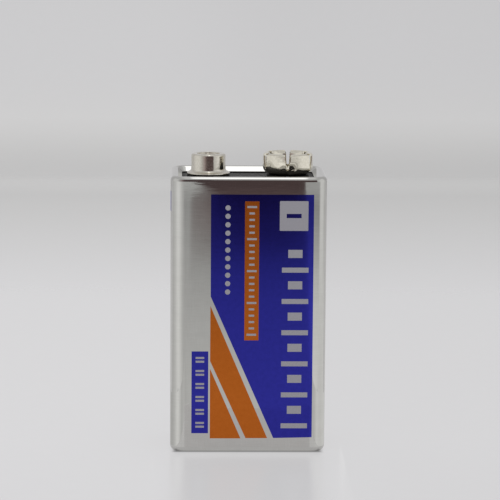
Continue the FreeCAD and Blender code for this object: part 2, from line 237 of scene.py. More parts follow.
def make_pale():
    m = Mat("pale_grey_print", Metallic=0.0, Specular_IOR_Level=0.35)
    v, along, across, fine, n = tin_surface(m, 0.8)
    grain = m.noise(m.scale(v, (5.0, 5.0, 1), (1, 3, 0)), 1.0, 3, 0.6)
    m.put(Base_Color=m.mix(m.span(grain, 0.3, 0.7), (0.395, 0.385, 0.425), (0.435, 0.425, 0.465)),
          Roughness=m.span(fine, 0.3, 0.7, 0.32, 0.42), Normal=n)
    return m.m


steel, blue, orange, pale = make_steel(), make_blue(), make_orange(), make_pale()

# ---- jacket -------------------------------------------------------------------------------------------------
HX, HY, CREST = 12.65, 8.25, 45.2
SHEET = 0.25
TOP_R, TOP_REACH, BOT_R, BOT_REACH = 0.75, 1.92, 1.0, 1.85
ROLL_Z = CREST - TOP_R
SEAM_X, SEAM_W, SEAM_D = -7.2, 0.14, 0.13
CORNER, EASE_FRONT, EASE_SIDE = 2.2, 3.0, 2.0


def quarter():
    """Columns from the middle of the broad face to the middle of the narrow one: [(s, x, y, turn)], the curvature easing in and out of the corner."""
    k = 1 / CORNER
    t1, t2 = k * EASE_FRONT / 4, k * EASE_SIDE / 4

    def run(a, b):
        legs = [("flat", a), ("in", EASE_FRONT), ("arc", (math.pi / 2 - t1 - t2) / k), ("out", EASE_SIDE), ("flat", b)]
        x, y, s, out = 0.0, -HY, 0.0, [(0.0, 0.0, -HY, 0.0)]
        base = 0.0
        for kind, length in legs:
            steps = {"flat": 4, "in": 14, "arc": 20, "out": 10}[kind]
            sub = 24
            for i in range(steps):
                for j in range(sub):
                    u = (i + (j + 0.5) / sub) / steps
                    if kind == "flat":
                        t = base
                    elif kind == "in":
                        t = t1 * u ** 4
                    elif kind == "arc":
                        t = t1 + k * length * u
                    else:
                        t = math.pi / 2 - t2 * (1 - u) ** 4
                    d = length / steps / sub
                    x += math.cos(t) * d
                    y += math.sin(t) * d
                    s += d
                u = (i + 1) / steps
                t = {"flat": base, "in": t1 * u ** 4, "arc": t1 + k * length * u, "out": math.pi / 2 - t2 * (1 - u) ** 4}[kind]
                out.append((s, x, y, t))
            base = t
        return out

    probe = run(1.0, 1.0)
    a = 1.0 + HX - probe[-1][1]
    b = 1.0 - probe[-1][2]
    return run(a, b)


Q = quarter()
LQ = Q[-1][0]                  # unrolled length of a quarter


def columns():
    """Round the whole can from the front's middle: [(s, x, y, nx, ny, inset)]."""
    cols = []
    for s, x, y, t in Q:
        cols.append((s, x, y, math.sin(t), -math.cos(t)))
    for s, x, y, t in Q[-2::-1]:
        cols.append((2 * LQ - s, x, -y, math.sin(t), math.cos(t)))
    for s, x, y, t in Q[1:]:
        cols.append((2 * LQ + s, -x, -y, -math.sin(t), math.cos(t)))
    for s, x, y, t in Q[-2:0:-1]:
        cols.append((4 * LQ - s, -x, y, -math.sin(t), -math.cos(t)))
    out = [(s, x, y, nx, ny, 0.0) for s, x, y, nx, ny in cols]
    seam_s = 2 * LQ - SEAM_X
    h = SEAM_W / 2
    extra = [(seam_s - h, 0.0), (seam_s - h + 0.02, SEAM_D), (seam_s + h - 0.02, SEAM_D), (seam_s + h, 0.0)]
    out = [c for c in out if abs(c[0] - seam_s) > 0.3]
    out += [(s, 2 * LQ - s, HY, 0.0, 1.0, d) for s, d in extra]
    return sorted(out)


COLS = columns()
PERIMETER = 4 * LQ


def arc_pts(c, r, a0, a1, n):
    return [(c[0] + r * math.cos(math.radians(a)), c[1] + r * math.sin(math.radians(a)), a) for a in
            [a0 + (a1 - a0) * i / n for i in range(n + 1)]]


def point_in(poly, p):
    inside = False
    x, y = p
    for (x0, y0), (x1, y1) in zip(poly, poly[1:] + poly[:1]):
        if (y0 > y) != (y1 > y) and x < (x1 - x0) * (y - y0) / (y1 - y0) + x0:
            inside = not inside
    return inside


def rect(x0, z0, x1, z1):
    return [(x0, z0), (x1, z0), (x1, z1), (x0, z1)]


def soft_rect(x0, z0, x1, z1, r, n=3):
    pts = []
    for cx, cz, a in ((x1 - r, z0 + r, -90), (x1 - r, z1 - r, 0), (x0 + r, z1 - r, 90), (x0 + r, z0 + r, 180)):
        for i in range(n + 1):
            t = math.radians(a + 90 * i / n)
            pts.append((cx + r * math.cos(t), cz + r * math.sin(t)))
    return pts


def disc(x, z, r, n=16):
    return [(x + r * math.cos(2 * math.pi * i / n), z + r * math.sin(2 * math.pi * i / n)) for i in range(n)]


def turn_s(deg, side):
    """Unrolled place where the corner at that side (+1 right, -1 left) has turned by deg from the front."""
    t = math.radians(deg)
    for (s0, _, _, a), (s1, _, _, b) in zip(Q, Q[1:]):
        if a <= t <= b and b > a:
            return side * (s0 + (s1 - s0) * (t - a) / (b - a))
    return side * LQ


def print_zones():
    """[(polygon in (s, z), material index)], later ones lie on earlier ones. 0 steel, 1 blue, 2 orange, 3 pale."""
    z = []
    # front: blue field cut by a slanting stripe, two orange fields under it
    z.append(([(-6.13, 42.42), (-6.10, 25.80), (4.17, 2.47), (10.44, 2.60), (10.45, 42.42)], 1))
    z.append(([(-6.13, 24.25), (-6.15, 15.20), (-0.34, 2.45), (3.19, 2.45)], 2))
    z.append(([(-6.16, 13.95), (-6.14, 2.40), (-1.15, 2.40)], 2))
    # narrow orange bar with a plain scale on it
    z.append((rect(-0.65, 18.62, 1.66, 41.32), 2))
    n = 21
    for i in range(n):
        zc = 19.55 + i * (40.4 - 19.55) / (n - 1)
        w = 0.78 if i % 5 == 0 else 0.44
        z.append((rect(0.50 - w, zc - 0.17, 0.50 + w, zc + 0.17), 3))
    # plain square with a bar, under the negative terminal
    z.append((soft_rect(4.95, 36.55, 9.55, 41.38, 0.12), 3))
    z.append((rect(6.05, 38.62, 8.45, 39.31), 1))
    # row of long and short bars, as cells are drawn in a circuit
    pairs = 6
    pitch = (34.25 - 3.48) / pairs
    for i in range(pairs):
        z0 = 3.48 + i * pitch
        z.append((rect(5.36, z0 + 0.62, 9.66, z0 + 1.44), 3))
        z.append((rect(6.36, z0 + 3.02, 8.66, z0 + 4.34), 3))
    # row of dots
    for i in range(11):
        z.append((disc(-3.38, 26.55 + i * 1.37, 0.43), 3))
    # small blue tab with short bars
    z.append((rect(-9.15, 3.25, -6.44, 16.79), 1))
    for i in range(6):
        zc = 4.65 + i * 2.15
        z.append((rect(-8.50, zc - 0.48, -7.10, zc - 0.14), 3))
        z.append((rect(-8.50, zc + 0.14, -7.10, zc + 0.48), 3))
    # left narrow face: a bar high up and a plain field under it
    e = abs(turn_s(72, -1))
    z.append((rect(-2 * LQ + e, 39.5, -e, 42.75), 1))
    z.append((rect(-LQ - 3.4, 3.3, -LQ + 3.4, 37.6), 1))
    z.append((rect(-LQ - 3.4, 3.3, -LQ + 3.4, 7.2), 2))
    # back: plain field beside the seam, polarity marks under the terminals
    b = 2 * LQ
    z.append((rect(b - 9.6, 2.6, b + 6.0, 42.3), 1))
    z.append((rect(b - 9.6, 2.6, b + 6.0, 8.4), 2))
    z.append((rect(b - 9.6, 8.4, b + 6.0, 9.3), 0))
    for cx, plus in ((b - 6.475, False), (b + 3.6, True)):
        z.append((rect(cx - 1.5, 38.3, cx + 1.5, 39.0), 3))
        if plus:
            z.append((rect(cx - 0.35, 37.15, cx + 0.35, 40.15), 3))
    return z


def build_jacket():
    verts, index, faces, mats, normals, uvs = [], {}, [], [], [], []

    def vid(p):
        key = tuple(round(c, 5) for c in p)
        if key not in index:
            index[key] = len(verts)
            verts.append(tuple(c * MM for c in p))
        return index[key]

    def face(points, norms, uv, mat):
        ids = [vid(p) for p in points]
        if len(set(ids)) < 3:
            return
        faces.append(ids)
        mats.append(mat)
        normals.append(norms)
        uvs.append(uv)

    def place(col, a, z):
        s, x, y, nx, ny, d = col
        a += d
        return (x - nx * a, y - ny * a, z)

    def norm(col, ang):
        s, x, y, nx, ny, d = col
        c, w = -math.cos(math.radians(ang)), math.sin(math.radians(ang))
        return Vector((nx * c, ny * c, w)).normalized()

    ring = COLS + [(COLS[0][0] + PERIMETER, *COLS[0][1:])]

    def sweep(profile, smooth=True, v0=0.0, seam=True):
        length = v0
        for (a0, z0, n0), (a1, z1, n1) in zip(profile, profile[1:]):
            step = math.dist((a0, z0), (a1, z1))
            for c0, c1 in zip(ring, ring[1:]):
                if not seam:
                    c0, c1 = (*c0[:5], 0.0), (*c1[:5], 0.0)
                pts = [place(c0, a0, z0), place(c1, a0, z0), place(c1, a1, z1), place(c0, a1, z1)]
                groove = c0[5] != c1[5]
                if smooth and not groove:
                    nn = [norm(c0, n0), norm(c1, n0), norm(c1, n1), norm(c0, n1)]
                else:
                    f = (Vector(pts[1]) - Vector(pts[0])).cross(Vector(pts[3]) - Vector(pts[0]))
                    nn = [f.normalized() if f.length > 1e-12 else Vector((0, 0, 1))] * 4
                uv = [(c0[0] / 100, (length) / 100), (c1[0] / 100, length / 100), (c1[0] / 100, (length + step) / 100), (c0[0] / 100, (length + step) / 100)]
                face(pts, nn, uv, 0)
            length += step

    tc, bc = (TOP_R, ROLL_Z), (BOT_R, BOT_R)
    bottom = [(BOT_REACH, 0.0, 270)] + arc_pts(bc, BOT_R, 270, 180, 10)
    top_arc = arc_pts(tc, TOP_R, 180, 45, 18)
    tip = (TOP_REACH, top_arc[-1][1] - (TOP_REACH - top_arc[-1][0]))
    top = top_arc + [(tip[0] - 0.06, tip[1] + 0.06, 45), (tip[0], tip[1], 20)]
    under = (tip[0] - SHEET * math.sqrt(0.5), tip[1] - SHEET * math.sqrt(0.5))
    sweep(bottom, True, -2.3)
    sweep(top, True, ROLL_Z)
    sweep([(tip[0], tip[1], -45), (under[0], under[1], -45)], False, 48)
    inner = [(under[0], under[1], 225)] + [(a, z, n + 180) for a, z, n in arc_pts(tc, TOP_R - SHEET, 45, 180, 10)]
    inner += [(a, z, n + 180) for a, z, n in arc_pts(bc, BOT_R - SHEET, 180, 270, 8)] + [(BOT_REACH, SHEET, 90)]
    sweep(inner, True, 50, False)
    sweep([(BOT_REACH, SHEET, 0), (BOT_REACH, 0.0, 0)], False, 96)

    # outer wall, split where the print changes
    z_lo, z_hi = BOT_R, ROLL_Z
    zones = print_zones()
    s_lo, s_hi = -PERIMETER / 2 + 6.5, PERIMETER / 2 + 6.5      # the cut lies on the back, between the printed field and the seam
    cols = sorted(set(round(((c[0] - s_lo) % PERIMETER) + s_lo, 6) for c in COLS) | {round(s_lo, 6), round(s_hi, 6)})

    def col_at(s):
        s = s % PERIMETER
        lo, hi = 0, len(ring) - 1
        while hi - lo > 1:
            mid = (lo + hi) // 2
            if ring[mid][0] <= s + 1e-9:
                lo = mid
            else:
                hi = mid
        c0, c1 = ring[lo], ring[hi]
        f = 0.0 if c1[0] == c0[0] else (s - c0[0]) / (c1[0] - c0[0])
        if f < 1e-6:
            return c0
        if f > 1 - 1e-6:
            return c1
        n = Vector((c0[3] + (c1[3] - c0[3]) * f, c0[4] + (c1[4] - c0[4]) * f, 0)).normalized()
        return (s, c0[1] + (c1[1] - c0[1]) * f, c0[2] + (c1[2] - c0[2]) * f, n.x, n.y, c0[5] + (c1[5] - c0[5]) * f)

    pts, edges = [], []
    for s in cols:
        pts += [Vector((s, z_lo)), Vector((s, z_hi))]
        edges.append((len(pts) - 2, len(pts) - 1))
    for i in range(0, len(pts) - 2, 2):
        edges += [(i, i + 2), (i + 1, i + 3)]
    shifted = []
    for poly, mat in zones:
        c = sum(p[0] for p in poly) / len(poly)
        k = round(((c - s_lo) // PERIMETER)) * PERIMETER
        poly = [(p[0] - k, p[1]) for p in poly]
        shifted.append((poly, mat))
        first = len(pts)
        pts += [Vector(p) for p in poly]
        edges += [(first + i, first + (i + 1) % len(poly)) for i in range(len(poly))]
    out = delaunay_2d_cdt(pts, edges, [], 0, 1e-5)
    boxes = [(min(p[0] for p in poly), max(p[0] for p in poly), min(p[1] for p in poly), max(p[1] for p in poly), poly, mat) for poly, mat in shifted]
    rows = [col_at(v.x) for v in out[0]]
    for tri in out[2]:
        p = [out[0][i] for i in tri]
        cx, cz = sum(v.x for v in p) / 3, sum(v.y for v in p) / 3
        if not s_lo < cx < s_hi:
            continue
        mat = 0
        for x0, x1, z0, z1, poly, kind in boxes:
            if x0 < cx < x1 and z0 < cz < z1 and point_in(poly, (cx, cz)):
                mat = kind
        area = (p[1].x - p[0].x) * (p[2].y - p[0].y) - (p[2].x - p[0].x) * (p[1].y - p[0].y)
        if abs(area) < 1e-9:
            continue
        order = (0, 1, 2) if area > 0 else (0, 2, 1)
        cc = [rows[tri[i]] for i in order]
        pp = [place(c, 0, p[i].y) for c, i in zip(cc, order)]
        if len(set(round(c[5], 4) for c in cc)) > 1:
            f = (Vector(pp[1]) - Vector(pp[0])).cross(Vector(pp[2]) - Vector(pp[0])).normalized()
            nn = [f] * 3
        else:
            nn = [Vector((c[3], c[4], 0)) for c in cc]
        face(pp, nn, [(p[i].x / 100, p[i].y / 100) for i in order], mat)

    mesh = bpy.data.meshes.new("jacket_shell")
    mesh.from_pydata(verts, [], faces)
    for m in (steel, blue, orange, pale):
        mesh.materials.append(m)
    mesh.polygons.foreach_set("material_index", mats)
    uvl = mesh.uv_layers.new(name="unrolled")
    flat = [v for f in uvs for v in f]
    for loop, v in zip(uvl.data, flat):
        loop.uv = v
    mesh.polygons.foreach_set("use_smooth", [True] * len(faces))
    mesh.normals_split_custom_set([tuple(n) for f in normals for n in f])
    o = bpy.data.objects.new("jacket_shell", mesh)
    scene.collection.objects.link(o)
    return o


jacket = build_jacket()
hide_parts("jacket")
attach(jacket, "root")


# ---- terminals ----------------------------------------------------------------------------------------------
def make_nickel(name, a, b, r0, r1):
    m = Mat(name, Metallic=1.0)
    v = m.obj()
    grain = m.noise(m.scale(v, (3.0, 3.0, 3.0)), 1.0, 4, 0.6)
    lines = m.noise(m.scale(v, (1.2, 1.2, 14.0), (2, 5, 1)), 1.0, 3, 0.6)
    spot = m.noise(m.scale(v, (0.9, 0.9, 0.9), (7, 3, 2)), 1.0, 3, 0.5)
    n = m.bump(lines, 0.0012)
    n = m.bump(spot, 0.010, 1.0, n)
    m.put(Base_Color=m.mix(m.span(grain, 0.35, 0.65), a, b), Roughness=m.span(lines, 0.3, 0.7, r0, r1), Normal=n)
    return m.m


nickel = make_nickel("nickel_plating", (0.70, 0.665, 0.585), (0.78, 0.745, 0.665), 0.08, 0.15)
petal_nickel = make_nickel("petal_plating", (0.79, 0.75, 0.64), (0.88, 0.84, 0.73), 0.06, 0.12)
rivet_metal = make_nickel("rivet_plating", (0.62, 0.60, 0.55), (0.72, 0.70, 0.65), 0.16, 0.26)

SEAT = 44.754
STUD_X, SOCKET_X = -6.475, 6.475


def mesh_object(name, verts, faces, materials, sharp=None):
    mesh = bpy.data.meshes.new(name)
    mesh.from_pydata([tuple(c * MM for c in v) for v in verts], [], faces)
    for m in materials:
        mesh.materials.append(m)
    bm = bmesh.new()
    bm.from_mesh(mesh)
    bmesh.ops.remove_doubles(bm, verts=bm.verts, dist=1e-8)
    bmesh.ops.recalc_face_normals(bm, faces=bm.faces)
    bm.to_mesh(mesh)
    bm.free()
    mesh.polygons.foreach_set("use_smooth", [True] * len(mesh.polygons))
    if sharp:
        mesh.set_sharp_from_angle(angle=math.radians(sharp))
    o = bpy.data.objects.new(name, mesh)
    scene.collection.objects.link(o)
    return o


def path(steps):
    """Open or closed (r, z) line from points and ("arc", centre, radius, from, to, count)."""
    out = []
    for st in steps:
        if st[0] == "arc":
            out += [(x, z) for x, z, _ in arc_pts(st[1], st[2], st[3], st[4], st[5])]
        else:
            out.append(st)
    clean = [out[0]]
    for p in out[1:]:
        if math.dist(p, clean[-1]) > 1e-5:
            clean.append(p)
    return clean


def build_stud():
    """Drawn cap of the positive stud: dished top, shoulder, barrel, flared foot and curled edge."""
    s, top = SEAT, 48.1
    t, R, F, B, fl, sh, fall = 0.15, 2.8, 3.5, 0.19, 0.55, 0.32, 20
    dish, depth, k1, k2 = 1.85, 0.34, 0.14, 0.16
    bead = (F - B, s + B)
    on = lambda c, r, a: (c[0] + r * math.cos(math.radians(a)), c[1] + r * math.sin(math.radians(a)))
    out = on(bead, B, 90 - fall)
    fx = R + fl
    low = on((fx, 0), fl, 270 - fall)
    fz = out[1] + (out[0] - low[0]) * math.tan(math.radians(fall)) - low[1]
    fc, sc = (fx, fz), (R - sh, top - sh)
    outer = path([(2.5, s), ("arc", bead, B, 270, 450 - fall, 12), ("arc", fc, fl, 270 - fall, 180, 14), ("arc", sc, sh, 0, 90, 12),
                  ("arc", (dish + k1, top - k1), k1, 90, 180, 6), ("arc", (dish - k2, top - depth + k2), k2, 0, -90, 6), (0.9, top - depth), (0.0, top - depth)])
    inner = path([(0.0, top - depth - t), ("arc", (dish - k2, top - depth + k2), k2 + t, -90, 0, 6), (dish + t, top - t),
                  ("arc", sc, sh - t, 90, 0, 8), ("arc", fc, fl + t, 180, 270 - fall, 8), ("arc", bead, B - t, 450 - fall, 270, 8), (2.5, s + t)])
    prof = outer + inner
    n = 144
    verts, faces = [], []
    for i in range(n):
        a = 2 * math.pi * i / n
        for r, z in prof:
            verts.append((STUD_X + r * math.cos(a), r * math.sin(a), z))
    m = len(prof)
    for i in range(n):
        for j in range(m):
            a, b = i * m + j, i * m + (j + 1) % m
            c, d = ((i + 1) % n) * m + (j + 1) % m, ((i + 1) % n) * m + j
            pts = [verts[k] for k in (a, b, c, d)]
            if prof[j][0] < 1e-9 and prof[(j + 1) % m][0] < 1e-9:
                continue
            faces.append((a, b, c, d))
    return mesh_object("stud_cap_drawn", verts, faces, [nickel], 50)


def tidy(o):
    """Turns the modifiers into mesh."""
    dg = bpy.context.evaluated_depsgraph_get()
    mesh = bpy.data.meshes.new_from_object(o.evaluated_get(dg))
    old = o.data
    o.modifiers.clear()
    o.data = mesh
    bpy.data.meshes.remove(old)
    mesh.name = o.name
    bm = bmesh.new()
    bm.from_mesh(mesh)
    bmesh.ops.dissolve_degenerate(bm, dist=3e-7, edges=bm.edges[:])
    bm.to_mesh(mesh)
    bm.free()
    return o


def build_socket():
    """Negative socket: bowl drawn from one disc, its wall parted by six slots into petals that bend in and down round a stud."""
    s, top = SEAT, 48.3
    t, P, grip, F, bowl, tipr, lip_z, foot = 0.26, 4.1, 2.9, 4.2, 1.47, 0.42, 0.95, 1.25
    turn, w0, w1 = -2.3, 0.27, 0.42
    zc = s + foot

    def wall(z):
        return P if z >= s + bowl else P - bowl + math.sqrt(bowl ** 2 - (s + bowl - z) ** 2)

    def gap(z):
        if z <= zc - w0:
            return 0.0
        if z < zc:
            return math.sqrt(w0 ** 2 - (zc - z) ** 2)
        return w0 + (w1 - w0) * (z - zc) / (top + 0.2 - zc)

    rows = [(1.28, s, False), (2.0, s, False)]
    rows += [(P - bowl + bowl * math.sin(math.radians(a)), s + bowl - bowl * math.cos(math.radians(a)), False) for a in range(0, 66, 4)]
    rows = [q for q in rows if q[1] < zc - w0 - 0.03]
    heights = [zc - w0 * math.cos(math.radians(a)) for a in range(0, 91, 30)] + [zc + 0.12 * i for i in range(1, 4)]
    z = heights[-1]
    while z < top - tipr - 0.06:
        z += 0.16
        heights.append(min(z, top - tipr))
    rows += [(wall(z), z, False) for z in heights]
    rows += [(P - tipr + tipr * math.cos(math.radians(a)), top - tipr + tipr * math.sin(math.radians(a)), False) for a in range(8, 83, 8)]
    rows += [(P - tipr, top, True), (3.56, top, True)]
    rows += [(3.45 + 0.3 * math.cos(math.radians(a)), top - 0.3 + 0.3 * math.sin(math.radians(a)), True) for a in range(90, 151, 10)]
    rows += [(3.05, top - 0.39, True), (grip, top - 0.65, True), (grip, top - lip_z, True)]
    halves = 14
    verts, faces = [], []
    for k in range(6):
        mid = 60 * k + turn
        base = len(verts)
        for r, z, past in rows:
            w = gap(z)
            rise = max(0.0, (z - (top - 0.5)) / 0.5)
            w += 0.10 * rise ** 2
            if past:
                flat = 0.45 * max(0.0, (r - 3.45) / (P - tipr - 3.45)) if r > 3.45 else 0.0
            else:
                flat = min(1.0, max(0.0, (z - s - 0.15) / 0.9)) if r > 3.0 else 0.0
                if z > top - tipr:
                    flat *= 1 - ((z - top + tipr) / tipr) ** 2 * 0.55
            edge = math.radians(30) - math.asin(min(0.9, w / max(r, 0.5)))
            for i in range(-halves, halves + 1):
                a = edge * i / halves
                rho = -F * math.cos(a) + math.sqrt((F + r) ** 2 - (F * math.sin(a)) ** 2)
                rho = rho * flat + r * (1 - flat)
                if not past and z > s + 0.1:
                    # the sheared corners beside the slots are bent in a little
                    deep, side, high = {5: (0.34, -1, 2.25), 4: (0.11, 1, 2.2), 0: (0.16, -1, 2.6), 3: (0.16, 1, 2.6)}.get(k, (0.03, 1, 2.0))
                    u = side * i / halves
                    lean = min(1.0, max(0.0, s + high - z) / (high - 1.2))
                    rho -= deep * lean ** 1.5 * step(0.25, 0.80, u) * step(s + 0.1, s + 0.8, z)
                ang = math.radians(mid) + a
                verts.append((SOCKET_X + rho * math.cos(ang), rho * math.sin(ang), z))
        n = 2 * halves + 1
        for j in range(len(rows) - 1):
            for i in range(n - 1):
                a = base + j * n + i
                faces.append((a, a + 1, a + 1 + n, a + n))
    o = mesh_object("socket_crown_drawn", verts, faces, [petal_nickel])
    bm = bmesh.new()
    bm.from_mesh(o.data)
    bmesh.ops.remove_doubles(bm, verts=bm.verts, dist=2e-7)
    bm.normal_update()
    bm.to_mesh(o.data)
    bm.free()
    solid = o.modifiers.new("thickness", "SOLIDIFY")
    solid.thickness = t * MM
    solid.offset = -1.0
    solid.use_even_offset = True
    bevel = o.modifiers.new("edge", "BEVEL")
    bevel.width = 0.07 * MM
    bevel.segments = 3
    bevel.limit_method = "ANGLE"
    bevel.angle_limit = math.radians(50)
    tidy(o)
    o.data.polygons.foreach_set("use_smooth", [True] * len(o.data.polygons))
    o.data.set_sharp_from_angle(angle=math.radians(60))
    return o


stud = build_stud()
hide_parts("stud_cap")
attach(stud, "root")
socket = build_socket()
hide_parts("socket_crown")
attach(socket, "root")


# ---- materials of the other pieces ----------------------------------------------------------------------------
def make_board(name, dark, light, scale=2.0, rough=(0.45, 0.62), bumpy=0.01, fibre=0.0, spec=0.5):
    m = Mat(name, Metallic=0.0, Specular_IOR_Level=spec)
    v = m.obj()
    grain = m.noise(m.scale(v, (scale, scale, scale)), 1.0, 5, 0.65)
    fib = m.noise(m.scale(v, (0.5, 6.0, 6.0), (3, 1, 4)), 1.0, 3, 0.6)
    tone = m.math("ADD", m.math("MULTIPLY", grain, 1 - fibre), m.math("MULTIPLY", fib, fibre))
    m.put(Base_Color=m.mix(m.span(tone, 0.3, 0.7), dark, light), Roughness=m.span(grain, 0.3, 0.7, *rough),
          Normal=m.bump(tone, bumpy))
    return m.m


def make_film(name, dark, light, rough=(0.2, 0.35)):
    m = Mat(name, Metallic=0.0, Coat_Weight=0.3, Coat_Roughness=0.15)
    v = m.obj()
    creases = m.noise(m.scale(v, (0.3, 0.3, 1.6)), 1.0, 3, 0.6, 0.8)
    haze = m.noise(m.scale(v, (0.8, 0.8, 0.8), (5, 2, 1)), 1.0, 4, 0.6)
    m.put(Base_Color=m.mix(m.span(haze, 0.3, 0.7), dark, light), Roughness=m.span(haze, 0.3, 0.7, *rough), Normal=m.bump(creases, 0.06))
    return m.m


def make_strip():
    m = Mat("tinned_brass", Metallic=1.0)
    v = m.obj()
    lines = m.noise(m.scale(v, (0.4, 10.0, 0.4)), 1.0, 3, 0.6)
    cloud = m.noise(m.scale(v, (0.7, 0.7, 0.7), (3, 3, 3)), 1.0, 3, 0.5)
    m.put(Base_Color=m.mix(m.span(cloud, 0.35, 0.65), (0.62, 0.60, 0.55), (0.72, 0.70, 0.66)), Roughness=m.span(lines, 0.3, 0.7, 0.22, 0.38), Normal=m.bump(lines, 0.002))
    return m.m


def make_zinc():
    m = Mat("zinc_sheet", Metallic=1.0)
    v = m.obj()
    cells = m.voronoi(m.scale(v, (0.7, 0.7, 0.2)), 1.0)
    lines = m.noise(m.scale(v, (0.5, 9.0, 1.0)), 1.0, 3, 0.6)
    m.put(Base_Color=m.mix(m.span(cells, 0.1, 0.8), (0.45, 0.46, 0.48), (0.58, 0.59, 0.61)), Roughness=m.span(lines, 0.3, 0.7, 0.35, 0.55), Normal=m.bump(lines, 0.004))
    return m.m


def make_cake():
    m = Mat("cathode_mix", Metallic=0.0)
    v = m.obj()
    grit = m.voronoi(m.scale(v, (5.0, 5.0, 5.0)), 1.0)
    lumps = m.noise(m.scale(v, (1.3, 1.3, 1.3)), 1.0, 5, 0.7)
    m.put(Base_Color=m.mix(m.span(lumps, 0.3, 0.7), (0.010, 0.010, 0.011), (0.030, 0.029, 0.030)), Roughness=m.span(lumps, 0.3, 0.7, 0.6, 0.9), Normal=m.bump(grit, 0.05))
    return m.m


# the terminal board is black; its extra darkness beyond the bottom board's black is painted shade for its recess under
# the rim
terminal_board = make_board("dark_terminal_board", (0.006, 0.006, 0.006), (0.014, 0.013, 0.012), 3.0, (0.45, 0.62), 0.010, 0.3, 0.3)
bottom_board = make_board("dark_bottom_board", (0.016, 0.016, 0.016), (0.036, 0.035, 0.033), 3.0, (0.45, 0.65), 0.012, 0.3, 0.4)
fibre_board = make_board("fibre_board", (0.10, 0.085, 0.06), (0.19, 0.16, 0.12), 2.0, (0.6, 0.8), 0.02, 0.6)
grey_board = make_board("grey_board", (0.20, 0.19, 0.18), (0.32, 0.31, 0.29), 2.5, (0.7, 0.9), 0.02, 0.5)
kraft = make_board("kraft_paper", (0.25, 0.16, 0.08), (0.38, 0.26, 0.15), 1.6, (0.7, 0.9), 0.015, 0.6)
paste_paper = make_board("paste_paper", (0.55, 0.52, 0.44), (0.72, 0.69, 0.61), 1.8, (0.6, 0.8), 0.02, 0.5)
shrink = make_film("stack_film", (0.45, 0.46, 0.47), (0.60, 0.61, 0.62))
cell_film = make_film("cell_film", (0.02, 0.022, 0.024), (0.045, 0.048, 0.05))
strip_metal, zinc, cake = make_strip(), make_zinc(), make_cake()

dress = {"terminal_plate": terminal_board, "bottom_plate": bottom_board, "stud_rivet": rivet_metal, "socket_rivet": rivet_metal,
         "positive_strip": strip_metal, "negative_strip": strip_metal, "positive_end_plate": strip_metal, "top_spacer": fibre_board,
         "bottom_pad": grey_board, "paper_liner": kraft, "stack_wrap": shrink, "jacket": steel, "stud_cap": nickel, "socket_crown": petal_nickel}
for i in range(1, 7):
    dress[f"cell_{i}_envelope"] = cell_film
    dress[f"cell_{i}_zinc_plate"] = zinc
    dress[f"cell_{i}_separator_tray"] = paste_paper
    dress[f"cell_{i}_cathode_cake"] = cake
for name, o in nodes.items():
    if not o.material_slots:
        o.data.materials.append(dress[name])
    for sl in o.material_slots:
        sl.material = dress[name]


# ---- floor and backdrop -------------------------------------------------------------------------------------
def along(knots, x):
    for (x0, y0), (x1, y1) in zip(knots, knots[1:]):
        if x <= x1:
            return y0 + (y1 - y0) * max(0.0, (x - x0) / (x1 - x0))
    return knots[-1][1]


SHEET_GLOW_PAINTED_SHADE = [(0, 0.50), (140, 0.45), (310, 0.28), (350, 0.30), (400, 0.51)]      # (mm along the sheet, glow level); the dip round 310 mm, before the cove, is painted shade


